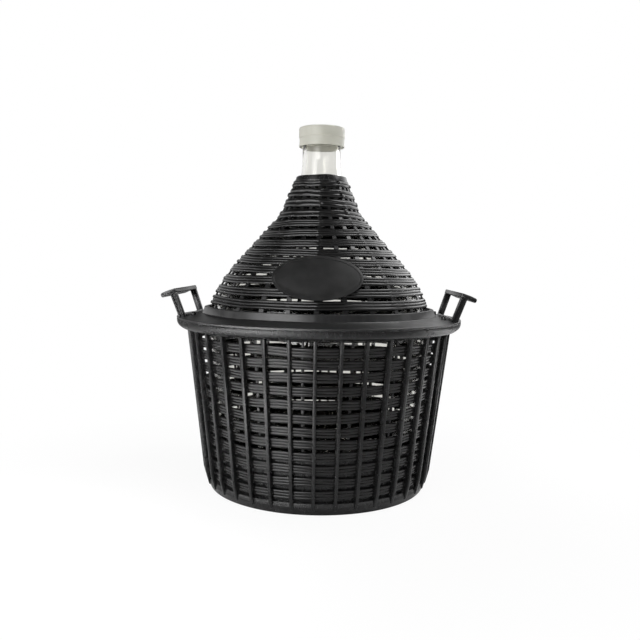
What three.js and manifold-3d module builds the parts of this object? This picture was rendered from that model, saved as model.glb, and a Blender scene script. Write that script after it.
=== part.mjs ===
// Demijohn in a moulded basket casing. A clear glass bottle stands in a tapered basket, a
// bell-shaped cover closes over its shoulder, and a snap cap shuts its neck. Two leaning
// handles are plugged into the basket's rim, and an oval plate is pegged to the cover.
// Millimetres, +Z up, origin at the centre of the base. The front is -Y.
import * as THREE from 'three';
import { mergeVertices } from 'three/addons/utils/BufferGeometryUtils.js';
import Module from 'manifold-3d';

const wasm = await Module();
wasm.setup();

// Fits
const SEAT_GAP = 0.3; // between pieces that rest on each other
const CAP_GAP = 0.5; // round the bottle's lip, inside the cap
const CAP_PASS = 1.1; // round the cap, inside the cover's mouth
const SPIGOT_GAP = 1.2; // round the cover's spigot, inside the basket
const NOTCH_GAP = 1.2; // round a handle, inside the flange's notch
const PEG_GAP = 0.3; // round a plate peg, inside the cover

// Glass bottle
const BASE_RADIUS = 130;
const SHOULDER_RADIUS = 145; // where the body line meets the shoulder line
const SHOULDER_HEIGHT = 224.3; // of that corner, above the bottle's base
const SHOULDER_ANGLE = THREE.MathUtils.degToRad(41.5); // from upright
const NECK_RADIUS = 24.5;
const NECK_LENGTH = 86.9; // from the neck's lower corner to the mouth
const LIP_RADIUS = 27;
const LIP_HEIGHT = 12;
const GLASS = 4;
const BASE_GLASS = 6;
const HEEL_FILLET = 22;
const SHOULDER_FILLET = 148;
const NECK_FILLET = 45;
const LIP_FILLET = 1.6;

// Snap cap
const CAP_TOP = 2.5;
const CAP_WALL = 1.3;
const CAP_SKIRT = 23; // below the mouth
const CAP_BAND = 12; // height of the thicker band at the top
const CAP_BAND_PROUD = 0.6;
const CAP_FILLET = 1.8;

// Basket
const FLOOR_LIFT = 8; // floor's underside above the ground
const FLOOR = 3;
const FOOT_WALL = 5;
const FOOT_HEIGHT = 6; // smooth band under the ribs
const FOOT_INSET = 2; // of the foot's lower edge, behind the wall
const HEEL_ROOM = 6.4; // between the bottle and the wall, at the floor
const SHOULDER_ROOM = 15.8; // between the bottle's corner and the wall, at the rim
const WALL = 6;
const RIM_HEIGHT = 216; // rim's flat top above the ground
const RIM_OVERHANG = 17.4;
const RIM_FACE = 6; // height of the rim's upright outer face
const FLARE = 11; // from the rim's top down to where the wall flares out
const FLARE_FILLET = 6;
const RIB_COUNT = 36;
const RIB_WIDTH = 5;
const RIB_DEPTH = 5;
const RIB_ROOT = 5; // how far a rib is sunk into the wall

// Grooves between the woven-look bands of the basket and the cover
const GROOVE = 5.4; // width at the surface
const GROOVE_DEPTH = 4.2;
const BASKET_ROWS = 13;
const BASKET_ROW_FOOT = 10.6; // lowest row, up the wall from the foot's band
const BASKET_ROW_HEAD = 6.1; // top row, below where the wall flares out
const COVER_ROWS = 12;
const COVER_ROW_FOOT = 9.1; // lowest row, up the slope from the flange
const COVER_ROW_HEAD = 32; // top row, below the cover's mouth

// Cover
const COVER_ROOM = 1.8; // between the bottle's shoulder and the cover
const COVER_WALL = 6.5;
const COVER_RISE = 27.7; // cover's mouth above the neck's lower corner
const COLLAR_HEIGHT = 49; // steeper top part
const COLLAR_FILLET = 30;
const MOUTH_WALL = 2.6;
const FLANGE = 2.7; // thickness of the flange at its edge
const FLANGE_RISE = 6; // of the flange's top, from its edge to the cover's wall
const FLANGE_INSET = 0.4; // behind the rim's outer face
const SPIGOT_DEPTH = 6;
const SPIGOT_WALL = 3;
const TIE_HOLE_RADIUS = 2.5;
const TIE_HOLE_INSET = 4.5; // from the notch towards the axis
const TIE_HOLE_SPACING = 90; // between the two holes beside one handle

// Oval plate on the cover
const PLATE_WIDTH = 101;
const PLATE_HEIGHT = 51;
const PLATE = 2.5;
const PLATE_RISE = 52.7; // plate's centre above the flange's edge
const PEG_RADIUS = 3;
const PEG_SPACING = 50;

// Handles
const HANDLE_SPAN = 124;
const HANDLE_HEIGHT = 40; // along its lean, above the rim
const HANDLE_DEPTH = 10;
const HANDLE_LEAN = THREE.MathUtils.degToRad(15);
const RIM_EDGE = 1.2; // from the handle's outer corners to the rim's edge
const POST_WIDTH = 7;
const SILL = 3; // thin bar between the feet of the posts
const GRIP = 5.5; // thickness of the top bar
const GRIP_PROUD = 0.5; // of the grip over the posts' faces
const GRIP_REACH = 18; // of the grip's lip, out from the handle's middle
const GRIP_DROP = 2.5; // of the lip's tip, below the grip
const TANG_DEPTH = 5;
const TANG_LENGTH = 5;
const TANG_WIDTH = 4;
const TANG_ROOT = 1; // how far a tang is sunk into its post

// Roundness of the surfaces
const CASING_SEGMENTS = 72;
const BOTTLE_SEGMENTS = 48;
const CAP_SEGMENTS = 48;
const PEG_SEGMENTS = 16;
const OVAL_STEPS = 24;
const ARC_STEPS = 4;
const FILLET_SHARE = 0.48; // of a leg that a fillet may take
const WELD = 1e-4; // vertices this close are one

// Turns corners { r, z, fillet } into an outline whose corners are round.
function roundOutline(corners) {
  const outline = [];
  corners.forEach((corner, i) => {
    const at = new THREE.Vector2(corner.r, corner.z);
    if (!corner.fillet || i === 0 || i === corners.length - 1) {
      outline.push(at);
      return;
    }
    const back = new THREE.Vector2(corners[i - 1].r, corners[i - 1].z).sub(at);
    const on = new THREE.Vector2(corners[i + 1].r, corners[i + 1].z).sub(at);
    const room = FILLET_SHARE * Math.min(back.length(), on.length());
    back.normalize();
    on.normalize();
    const half = Math.acos(THREE.MathUtils.clamp(back.dot(on), -1, 1)) / 2;
    const reach = Math.min(corner.fillet / Math.tan(half), room);
    const radius = reach * Math.tan(half);
    const middle = back.clone().add(on).normalize();
    const centre = at.clone().addScaledVector(middle, radius / Math.sin(half));
    const start = at.clone().addScaledVector(back, reach).sub(centre);
    const turn = (Math.PI - 2 * half) * Math.sign(on.cross(back));
    for (let k = 0; k <= ARC_STEPS; k += 1) {
      const spoke = start.clone().rotateAround(new THREE.Vector2(), (turn * k) / ARC_STEPS);
      outline.push(spoke.add(centre));
    }
  });
  return outline;
}

// Moves an outline of corners outwards by a distance, with its fillets kept parallel.
function offsetCorners(corners, distance) {
  const points = corners.map((corner) => new THREE.Vector2(corner.r, corner.z));
  const legs = points.slice(1).map((point, i) => point.clone().sub(points[i]).normalize());
  return corners.map((corner, i) => {
    const before = legs[Math.max(i - 1, 0)];
    const after = legs[Math.min(i, legs.length - 1)];
    const side = new THREE.Vector2(before.y + after.y, -before.x - after.x);
    const shift = side.multiplyScalar(distance / (1 + before.dot(after)));
    const bend = Math.sign(before.cross(after));
    return {
      r: corner.r + shift.x,
      z: corner.z + shift.y,
      fillet: (corner.fillet ?? 0) + bend * distance,
    };
  });
}

// Radius of the line through two corners, at a height.
function radiusAt(a, b, z) {
  return a.r + ((b.r - a.r) * (z - a.z)) / (b.z - a.z);
}

// The part of a rising outline that lies above a height.
function above(outline, z) {
  const first = outline.findIndex((point) => point.y > z);
  const low = outline[first - 1];
  const high = outline[first];
  const cut = low.clone().lerp(high, (z - low.y) / (high.y - low.y));
  return [cut, ...outline.slice(first)];
}

// Point on an outline at a distance from its start, and the direction there.
function pointAt(outline, distance) {
  let rest = distance;
  let i = 1;
  while (i < outline.length - 1 && rest > outline[i].distanceTo(outline[i - 1])) {
    rest -= outline[i].distanceTo(outline[i - 1]);
    i += 1;
  }
  const direction = outline[i].clone().sub(outline[i - 1]).normalize();
  return { point: outline[i - 1].clone().addScaledVector(direction, rest), direction };
}

// Cuts rows of V-shaped grooves into an outline that runs up the outside.
function grooved(outline, rows, first, last) {
  const middles = [];
  for (let row = 0; row < rows; row += 1) {
    middles.push(first + ((last - first) * row) / (rows - 1));
  }
  const marks = [];
  let run = 0;
  outline.forEach((point, i) => {
    if (i > 0) run += point.distanceTo(outline[i - 1]);
    const at = run;
    if (middles.every((middle) => Math.abs(at - middle) > GROOVE / 2)) marks.push({ at, point });
  });
  for (const middle of middles) {
    const { point, direction } = pointAt(outline, middle);
    const inwards = new THREE.Vector2(-direction.y, direction.x);
    marks.push({ at: middle, point: point.addScaledVector(inwards, GROOVE_DEPTH) });
    for (const at of [middle - GROOVE / 2, middle + GROOVE / 2]) {
      marks.push({ at, point: pointAt(outline, at).point });
    }
  }
  return marks.sort((a, b) => a.at - b.at).map((mark) => mark.point);
}

function runLength(outline) {
  return outline.slice(1).reduce((sum, point, i) => sum + point.distanceTo(outline[i]), 0);
}

function toSolid(geometry) {
  const bare = geometry.clone();
  bare.deleteAttribute('normal');
  bare.deleteAttribute('uv');
  const merged = mergeVertices(bare, WELD);
  const index = merged.index.array;
  const triVerts = [];
  for (let i = 0; i < index.length; i += 3) {
    const [a, b, c] = [index[i], index[i + 1], index[i + 2]];
    if (a !== b && b !== c && c !== a) triVerts.push(a, b, c);
  }
  return new wasm.Manifold(new wasm.Mesh({
    numProp: 3,
    vertProperties: new Float32Array(merged.attributes.position.array),
    triVerts: new Uint32Array(triVerts),
  }));
}

function toMesh(name, solid, material) {
  const { vertProperties, triVerts } = solid.getMesh();
  const geometry = new THREE.BufferGeometry();
  geometry.setAttribute('position', new THREE.BufferAttribute(new Float32Array(vertProperties), 3));
  geometry.setIndex(new THREE.BufferAttribute(new Uint32Array(triVerts), 1));
  geometry.computeVertexNormals();
  const mesh = new THREE.Mesh(geometry, material);
  mesh.name = name;
  return mesh;
}

// Solid of revolution about Z. The outline runs up the outside and closes inside.
function turned(outline, segments) {
  return toSolid(new THREE.LatheGeometry(outline, segments).rotateX(Math.PI / 2));
}

// Solid ring of revolution whose outline closes on itself.
function turnedRing(outline, segments) {
  return turned([...outline, outline[0].clone()], segments);
}

function box(low, high) {
  const size = high.clone().sub(low);
  const middle = low.clone().add(high).multiplyScalar(0.5);
  const geometry = new THREE.BoxGeometry(size.x, size.y, size.z);
  return toSolid(geometry.translate(middle.x, middle.y, middle.z));
}

// Heights and radii that several pieces share
const floorTop = FLOOR_LIFT + FLOOR;
const bottleBase = floorTop + SEAT_GAP;
const heel = { r: BASE_RADIUS, z: bottleBase, fillet: HEEL_FILLET };
const shoulder = { r: SHOULDER_RADIUS, z: bottleBase + SHOULDER_HEIGHT, fillet: SHOULDER_FILLET };
const shoulderRise = (SHOULDER_RADIUS - NECK_RADIUS) / Math.tan(SHOULDER_ANGLE);
const neck = { r: NECK_RADIUS, z: shoulder.z + shoulderRise, fillet: NECK_FILLET };
const mouth = { r: NECK_RADIUS, z: neck.z + NECK_LENGTH };
const capRadius = LIP_RADIUS + CAP_GAP + CAP_WALL;
const wallFoot = { r: BASE_RADIUS + HEEL_ROOM, z: floorTop };
const wallHead = { r: SHOULDER_RADIUS + SHOULDER_ROOM, z: RIM_HEIGHT };
const wallInside = (z) => radiusAt(wallFoot, wallHead, z);
const wallOutside = (z) => wallInside(z) + WALL;
const rimRadius = wallOutside(RIM_HEIGHT) + RIM_OVERHANG;
const flangeBottom = RIM_HEIGHT + SEAT_GAP;
const flangeTop = flangeBottom + FLANGE;
const flangeHead = flangeTop + FLANGE_RISE;
const handleOutside = Math.sqrt((rimRadius - RIM_EDGE) ** 2 - (HANDLE_SPAN / 2) ** 2);
const handleInside = handleOutside - HANDLE_DEPTH;
const handleMiddle = handleOutside - HANDLE_DEPTH / 2;
const postMiddle = (HANDLE_SPAN - POST_WIDTH) / 2;
const plateHeight = flangeTop + PLATE_RISE;

function buildBottle() {
  const lipBase = mouth.z - LIP_HEIGHT;
  const [, inShoulder, inNeck, inMouth] = offsetCorners([heel, shoulder, neck, mouth], -GLASS);
  const inFloor = bottleBase + BASE_GLASS;
  const inHeel = radiusAt(heel, shoulder, inFloor) - GLASS;
  return turned(roundOutline([
    { r: 0, z: bottleBase },
    heel,
    shoulder,
    neck,
    { r: NECK_RADIUS, z: lipBase - (LIP_RADIUS - NECK_RADIUS) },
    { r: LIP_RADIUS, z: lipBase, fillet: LIP_FILLET },
    { r: LIP_RADIUS, z: mouth.z, fillet: LIP_FILLET },
    { r: inMouth.r, z: mouth.z, fillet: LIP_FILLET },
    inNeck,
    inShoulder,
    { r: inHeel, z: inFloor, fillet: HEEL_FILLET - GLASS },
    { r: 0, z: inFloor },
  ]), BOTTLE_SEGMENTS);
}

function buildCap() {
  const inTop = mouth.z + SEAT_GAP;
  const outTop = inTop + CAP_TOP;
  const bottom = mouth.z - CAP_SKIRT;
  const bandRadius = capRadius + CAP_BAND_PROUD;
  return turned(roundOutline([
    { r: 0, z: inTop },
    { r: LIP_RADIUS + CAP_GAP, z: inTop },
    { r: LIP_RADIUS + CAP_GAP, z: bottom },
    { r: capRadius, z: bottom },
    { r: capRadius, z: outTop - CAP_BAND - CAP_BAND_PROUD },
    { r: bandRadius, z: outTop - CAP_BAND },
    { r: bandRadius, z: outTop, fillet: CAP_FILLET },
    { r: 0, z: outTop },
  ]), CAP_SEGMENTS);
}

function buildRib() {
  const low = FOOT_HEIGHT;
  const high = RIM_HEIGHT - RIM_FACE;
  const side = new THREE.Shape([
    new THREE.Vector2(wallOutside(low) - RIB_ROOT, low),
    new THREE.Vector2(wallOutside(low) + RIB_DEPTH, low),
    new THREE.Vector2(wallOutside(high) + RIB_DEPTH, high),
    new THREE.Vector2(wallOutside(high) - RIB_ROOT, high),
  ]);
  const geometry = new THREE.ExtrudeGeometry(side, { depth: RIB_WIDTH, bevelEnabled: false });
  geometry.translate(0, 0, -RIB_WIDTH / 2);
  geometry.rotateX(Math.PI / 2);
  return geometry;
}

// The wall's facets meet behind the ribs.
function buildBasket() {
  const footRadius = wallOutside(FOOT_HEIGHT) - FOOT_INSET;
  const flare = RIM_HEIGHT - FLARE;
  const wallLow = new THREE.Vector2(wallOutside(FOOT_HEIGHT), FOOT_HEIGHT);
  const wallHigh = new THREE.Vector2(wallOutside(flare), flare);
  const wall = roundOutline([
    { r: wallLow.x, z: wallLow.y },
    { r: wallHigh.x, z: wallHigh.y, fillet: FLARE_FILLET },
    { r: rimRadius, z: RIM_HEIGHT - RIM_FACE },
  ]);
  const topRow = wallLow.distanceTo(wallHigh) - BASKET_ROW_HEAD;
  let solid = turned([
    new THREE.Vector2(0, FLOOR_LIFT),
    new THREE.Vector2(footRadius - FOOT_WALL, FLOOR_LIFT),
    new THREE.Vector2(footRadius - FOOT_WALL, 0),
    new THREE.Vector2(footRadius, 0),
    ...grooved(wall, BASKET_ROWS, BASKET_ROW_FOOT, topRow),
    new THREE.Vector2(rimRadius, RIM_HEIGHT),
    new THREE.Vector2(wallHead.r, wallHead.z),
    new THREE.Vector2(wallFoot.r, wallFoot.z),
    new THREE.Vector2(0, floorTop),
  ], RIB_COUNT);
  for (let i = 0; i < RIB_COUNT; i += 1) {
    const turn = (2 * Math.PI * i) / RIB_COUNT;
    solid = solid.add(toSolid(buildRib().rotateZ(turn)));
  }
  for (const side of [-1, 1]) {
    for (const end of [-1, 1]) {
      solid = solid.subtract(tang(side, end, SEAT_GAP));
    }
  }
  return solid;
}

// Tang under a handle's post, or its slot in the rim when grown by a gap.
function tang(side, end, gap) {
  const length = TANG_LENGTH / 2 + gap;
  const width = TANG_WIDTH / 2 + gap;
  const x = side * handleMiddle;
  const y = end * postMiddle;
  return box(
    new THREE.Vector3(x - length, y - width, RIM_HEIGHT - TANG_DEPTH - gap),
    new THREE.Vector3(x + length, y + width, RIM_HEIGHT + SEAT_GAP + TANG_ROOT),
  );
}

// Outline of the cover's wall at a distance from the bottle, up to a mouth radius.
function coverOutline(distance, mouthRadius) {
  const [foot, bend, top] = offsetCorners([heel, shoulder, neck], distance);
  const coverTop = neck.z + COVER_RISE;
  const collar = coverTop - COLLAR_HEIGHT;
  return roundOutline([
    foot,
    bend,
    { r: radiusAt(bend, top, collar), z: collar, fillet: COLLAR_FILLET },
    { r: mouthRadius, z: coverTop },
  ]);
}

function buildCover() {
  const mouthInside = capRadius + CAP_BAND_PROUD + CAP_PASS;
  const bell = above(coverOutline(COVER_ROOM + COVER_WALL, mouthInside + MOUTH_WALL), flangeHead);
  const topRow = runLength(bell) - COVER_ROW_HEAD;
  const outside = grooved(bell, COVER_ROWS, COVER_ROW_FOOT, topRow);
  const inside = above(coverOutline(COVER_ROOM, mouthInside), flangeBottom).reverse();
  const spigotBottom = flangeBottom - SPIGOT_DEPTH;
  const spigotOutside = wallInside(spigotBottom) - SPIGOT_GAP;
  const flangeRadius = rimRadius - FLANGE_INSET;
  let solid = turnedRing([
    new THREE.Vector2(flangeRadius, flangeTop),
    ...outside,
    ...inside,
    new THREE.Vector2(spigotOutside - SPIGOT_WALL, flangeBottom),
    new THREE.Vector2(spigotOutside - SPIGOT_WALL, spigotBottom),
    new THREE.Vector2(spigotOutside, spigotBottom),
    new THREE.Vector2(spigotOutside, flangeBottom),
    new THREE.Vector2(flangeRadius, flangeBottom),
  ], CASING_SEGMENTS);
  const through = 4 * (FLANGE + FLANGE_RISE);
  const notchDepth = handleInside - NOTCH_GAP;
  const notchWidth = HANDLE_SPAN / 2 + NOTCH_GAP;
  for (const side of [-1, 1]) {
    const near = side * notchDepth;
    const far = side * (rimRadius + NOTCH_GAP);
    solid = solid.subtract(box(
      new THREE.Vector3(Math.min(near, far), -notchWidth, flangeBottom - NOTCH_GAP),
      new THREE.Vector3(Math.max(near, far), notchWidth, flangeHead + NOTCH_GAP),
    ));
    for (const end of [-1, 1]) {
      const hole = new THREE.CylinderGeometry(
        TIE_HOLE_RADIUS, TIE_HOLE_RADIUS, through, PEG_SEGMENTS,
      );
      hole.rotateX(Math.PI / 2);
      hole.translate(side * (notchDepth - TIE_HOLE_INSET), (end * TIE_HOLE_SPACING) / 2, flangeTop);
      solid = solid.subtract(toSolid(hole));
    }
    solid = solid.subtract(peg(side, PEG_RADIUS + PEG_GAP));
  }
  return solid;
}

// Long round bar along Y through the front of the cover, where a plate peg goes.
function peg(side, radius) {
  const length = 2 * SHOULDER_RADIUS;
  const bar = new THREE.CylinderGeometry(radius, radius, length, PEG_SEGMENTS);
  bar.translate((side * PEG_SPACING) / 2, -length / 2, plateHeight);
  return toSolid(bar);
}

// Shell that runs parallel to the bottle between two distances from it.
function parallelShell(near, far) {
  const corners = [heel, shoulder, neck];
  const outside = roundOutline(offsetCorners(corners, far));
  const inside = roundOutline(offsetCorners(corners, near)).reverse();
  return turnedRing([...outside, ...inside], CASING_SEGMENTS);
}

function buildPlate() {
  const back = COVER_ROOM + COVER_WALL + SEAT_GAP;
  const oval = new THREE.Shape();
  oval.absellipse(0, 0, PLATE_WIDTH / 2, PLATE_HEIGHT / 2, 0, 2 * Math.PI, false);
  const reach = 2 * SHOULDER_RADIUS;
  const prism = new THREE.ExtrudeGeometry(oval, {
    depth: reach,
    bevelEnabled: false,
    curveSegments: OVAL_STEPS,
  });
  prism.rotateX(Math.PI / 2);
  prism.translate(0, 0, plateHeight);
  let solid = parallelShell(back, back + PLATE).intersect(toSolid(prism));
  const pegShell = parallelShell(COVER_ROOM, back + PLATE / 2);
  for (const side of [-1, 1]) {
    solid = solid.add(pegShell.intersect(peg(side, PEG_RADIUS)));
  }
  return solid;
}

// Handle at +X: two leaning posts on a thin sill, under a grip with a lip that leans out.
function buildHandle() {
  const halfSpan = HANDLE_SPAN / 2;
  const gapSide = halfSpan - POST_WIDTH;
  const sillTop = SILL + HANDLE_DEPTH * Math.sin(HANDLE_LEAN);
  const postTop = HANDLE_HEIGHT - GRIP / 2;
  const frame = new THREE.Shape([
    new THREE.Vector2(-halfSpan, -HANDLE_DEPTH),
    new THREE.Vector2(halfSpan, -HANDLE_DEPTH),
    new THREE.Vector2(halfSpan, postTop),
    new THREE.Vector2(gapSide, postTop),
    new THREE.Vector2(gapSide, sillTop),
    new THREE.Vector2(-gapSide, sillTop),
    new THREE.Vector2(-gapSide, postTop),
    new THREE.Vector2(-halfSpan, postTop),
  ]);
  const lean = new THREE.Vector3(Math.sin(HANDLE_LEAN), 0, Math.cos(HANDLE_LEAN));
  const out = new THREE.Vector3(Math.cos(HANDLE_LEAN), 0, -Math.sin(HANDLE_LEAN));
  const along = new THREE.Vector3(0, 1, 0);
  const place = new THREE.Vector3(handleMiddle, 0, RIM_HEIGHT);

  const frameGeometry = new THREE.ExtrudeGeometry(frame, { depth: HANDLE_DEPTH, bevelEnabled: false });
  frameGeometry.translate(0, 0, -HANDLE_DEPTH / 2);
  frameGeometry.applyMatrix4(new THREE.Matrix4().makeBasis(along, lean, out).setPosition(place));

  const inner = -HANDLE_DEPTH / 2 - GRIP_PROUD;
  const gripBottom = HANDLE_HEIGHT - GRIP;
  const lipBottom = gripBottom - GRIP_DROP;
  const grip = new THREE.Shape();
  grip.moveTo(inner, gripBottom);
  grip.quadraticCurveTo(GRIP_REACH / 2, gripBottom, GRIP_REACH - GRIP / 2, lipBottom);
  grip.lineTo(GRIP_REACH, lipBottom + GRIP / 2);
  grip.lineTo(GRIP_REACH - GRIP / 4, lipBottom + GRIP);
  grip.quadraticCurveTo(GRIP_REACH / 2, HANDLE_HEIGHT, inner + GRIP / 2, HANDLE_HEIGHT);
  grip.lineTo(inner, HANDLE_HEIGHT - GRIP / 2);
  const gripGeometry = new THREE.ExtrudeGeometry(grip, {
    depth: HANDLE_SPAN + 2 * GRIP_PROUD,
    bevelEnabled: false,
    curveSegments: ARC_STEPS,
  });
  gripGeometry.translate(0, 0, -halfSpan - GRIP_PROUD);
  const across = along.clone().negate();
  gripGeometry.applyMatrix4(new THREE.Matrix4().makeBasis(out, lean, across).setPosition(place));

  const ground = box(
    new THREE.Vector3(0, -HANDLE_SPAN, 0),
    new THREE.Vector3(2 * rimRadius, HANDLE_SPAN, RIM_HEIGHT + SEAT_GAP),
  );
  let solid = toSolid(frameGeometry).add(toSolid(gripGeometry)).subtract(ground);
  for (const end of [-1, 1]) {
    solid = solid.add(tang(1, end, 0));
  }
  return solid;
}

const casing = new THREE.MeshStandardMaterial({ color: 0x1d1d1f, roughness: 0.45, metalness: 0 });
const clearGlass = new THREE.MeshStandardMaterial({
  color: 0xe4e9e2, roughness: 0.04, metalness: 0, transparent: true, opacity: 0.35,
});
const cloudy = new THREE.MeshStandardMaterial({ color: 0xd9dad4, roughness: 0.4, metalness: 0 });

const demijohn = new THREE.Group();
demijohn.name = 'demijohn';
demijohn.add(toMesh('basket', buildBasket(), casing));
demijohn.add(toMesh('glass_bottle', buildBottle(), clearGlass));
demijohn.add(toMesh('cap', buildCap(), cloudy));
demijohn.add(toMesh('cover', buildCover(), casing));
demijohn.add(toMesh('name_plate', buildPlate(), casing));
const handle = buildHandle();
demijohn.add(toMesh('handle_right', handle, casing));
const leftHandle = toMesh('handle_left', handle, casing);
leftHandle.rotation.z = Math.PI;
demijohn.add(leftHandle);

export default demijohn;
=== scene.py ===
import math

import bmesh
import bpy
from mathutils import Matrix, Vector


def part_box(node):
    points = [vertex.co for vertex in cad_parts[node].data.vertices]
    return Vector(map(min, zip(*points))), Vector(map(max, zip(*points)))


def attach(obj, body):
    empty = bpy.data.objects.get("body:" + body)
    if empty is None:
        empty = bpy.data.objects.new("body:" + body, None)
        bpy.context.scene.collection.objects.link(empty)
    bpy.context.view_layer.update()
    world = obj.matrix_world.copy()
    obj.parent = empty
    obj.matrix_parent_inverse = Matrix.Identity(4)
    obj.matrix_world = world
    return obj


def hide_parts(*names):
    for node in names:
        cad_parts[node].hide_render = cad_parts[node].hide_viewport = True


bl_info = {
    "name": "Basket Demijohn",
    "version": (1, 0, 0),
    "blender": (4, 5, 0),
    "location": "3D View > Sidebar > Demijohn",
    "description": "Glass demijohn in a slotted basket casing with a bell cover, cap and handles",
    "category": "Object",
}

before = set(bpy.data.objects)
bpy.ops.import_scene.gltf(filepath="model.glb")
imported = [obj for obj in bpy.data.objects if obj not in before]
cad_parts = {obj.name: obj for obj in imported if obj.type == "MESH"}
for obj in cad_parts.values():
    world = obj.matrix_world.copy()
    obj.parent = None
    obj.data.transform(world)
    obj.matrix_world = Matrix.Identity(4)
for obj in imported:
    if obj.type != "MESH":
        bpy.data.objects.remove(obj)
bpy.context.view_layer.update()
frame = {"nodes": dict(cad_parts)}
BASKET_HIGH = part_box("basket")[1]
BOTTLE_LOW, BOTTLE_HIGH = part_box("glass_bottle")
COVER_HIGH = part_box("cover")[1]
CAP_LOW, CAP_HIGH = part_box("cap")
PLATE_LOW, PLATE_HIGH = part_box("name_plate")
HANDLE_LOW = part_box("handle_right")[0]

FULL_TURN = 2 * math.pi
# Clearance between pieces that rest on each other
GAP = 0.0003
# Steps round the axis for the strands and the flange
ROUND_STEPS = 252
# Strand numbers kept for each band
BAND_STEP = 4
# Height at which the basket's stakes and the dark web of painted shade behind the low slots start, inside its
# floor
STAKE_FOOT = 0.0105
# The plate that is seen is this much broader than its solid
PLATE_BROADER = 1.05
# Corners sharper than this, in degrees, stay sharp
SHARP = 40.0
# Noise with no stretch
EVEN = (1.0, 1.0, 1.0)


# Properties

def length(name, description, default):
    return bpy.props.FloatProperty(
        name=name, description=description, default=default, min=0.0, precision=4, unit="LENGTH",
    )


def angle(name, description, default):
    return bpy.props.FloatProperty(
        name=name, description=description, default=math.radians(default), subtype="ANGLE",
    )


def count(name, description, default):
    return bpy.props.IntProperty(name=name, description=description, default=default, min=1)


def watts(name, description, default):
    return bpy.props.FloatProperty(name=name, description=description, default=default, min=0.0, unit="POWER")


def colour(name, description, default):
    return bpy.props.FloatVectorProperty(
        name=name, description=description, default=default, size=3, min=0.0, max=1.0, subtype="COLOR",
    )


class BottleSizes(bpy.types.PropertyGroup):
    """Sizes of the glass bottle"""

    base_radius: length("Base radius", "Radius of the body at its base", 0.130)
    shoulder_radius: length("Shoulder radius", "Radius where the body meets the shoulder", 0.145)
    shoulder_height: length("Shoulder height", "Height of that corner above the base", 0.2243)
    shoulder_angle: angle("Shoulder angle", "Slope of the shoulder, from upright", 41.5)
    neck_radius: length("Neck radius", "Outer radius of the neck", 0.0245)
    lip_radius: length("Lip radius", "Outer radius of the lip", 0.027)
    lip_height: length("Lip height", "Height of the lip", 0.012)
    glass: length("Glass", "Thickness of the glass", 0.004)
    kick: length("Kick", "Rise of the base towards its middle", 0.004)


class CapSizes(bpy.types.PropertyGroup):
    """Sizes of the snap cap"""

    band: length("Band", "Height of the wider band", 0.0125)
    wall: length("Wall", "Thickness of the skirt", 0.0013)
    dish: length("Dish", "Depth of the hollow in the top", 0.0009)


class BasketSizes(bpy.types.PropertyGroup):
    """Sizes of the lower basket"""

    wall_radius: length("Wall radius", "Outer radius of the bands, carried down to the ground", 0.1411)
    wall_lean: angle("Wall lean", "Lean of the wall, from upright", 6.787)
    row_count: count("Slot rows", "Rows of slots", 13)
    first_row: length("First row", "Height of the lowest row of slots", 0.0165)
    row_pitch: length("Row pitch", "Height from one row to the next", 0.0152)
    slot: length("Slot", "Height of a slot", 0.0036)
    strand_depth: length("Strand depth", "Depth of a strand", 0.0032)
    rib_count: count("Ribs", "Upright ribs, with a stake in every second space", 36)
    rib_width: length("Rib width", "Width of a rib", 0.0042)
    rib_depth: length("Rib depth", "How far a rib stands out from the bands", 0.0050)
    rib_start: length("Rib start", "Height of the ribs' lower ends", 0.0062)
    stake_width: length("Stake width", "Width of an inner stake", 0.0036)
    drift: length("Drift", "How far the bands drift up and down", 0.0008)
    tilt: length("Tilt", "How far the bands tilt up or down at a side", 0.0010)
    # The web behind the low slots is painted shade, a dark sheet put where the basket's foot is only in
    # shade.
    shade_web: length("Lining", "Height of the lining behind the low slots", 0.0700)


class CoverSizes(bpy.types.PropertyGroup):
    """Sizes of the bell cover"""

    room: length("Offset", "From the bottle's outside to the cover's outside", 0.0067)
    collar: length("Collar", "Height of the steep top part", 0.049)
    row_count: count("Slot rows", "Rows of slots", 13)
    row_pitch: length("Row pitch", "From one row to the next, along the slope", 0.0153)
    first_row: length("First row", "Height of the lowest row of slots", 0.2338)
    slot: length("Slot", "Width of a slot, along the slope", 0.0035)
    strand_depth: length("Strand depth", "Depth of a strand", 0.0034)
    stake_count: count("Stakes", "Upright stakes", 26)
    stake_width: length("Stake width", "Width of a stake at the base", 0.0058)
    collar_rows: count("Collar rows", "Rows at the top that have two broad strands", 4)
    drift: length("Drift", "How far the bands drift up and down", 0.0004)
    tilt: length("Tilt", "How far the bands tilt up or down at a side", 0.0016)
    panel_count: count("Panels", "Flattened panels round the bell", 9)
    panel_flat: bpy.props.FloatProperty(
        name="Panel flatness", description="0 is round and 1 is flat", default=0.36, min=0.0, max=1.0,
        subtype="FACTOR",
    )
    knot: length("Knot", "How far the strands stand out at a seam", 0.0014)
    band_top: length("Base band", "Height of the smooth band's top edge", 0.2316)


class PlateSizes(bpy.types.PropertyGroup):
    """Sizes of the oval plate"""

    width: length("Width", "Width of the oval", (PLATE_HIGH.x - PLATE_LOW.x) * PLATE_BROADER)
    height: length("Height", "Height of the oval", PLATE_HIGH.z - PLATE_LOW.z)
    edge: length("Edge", "Width of the raised edge", 0.0016)
    lift: length("Lift", "How far the plate stands off the cover", 0.0024)


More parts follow.
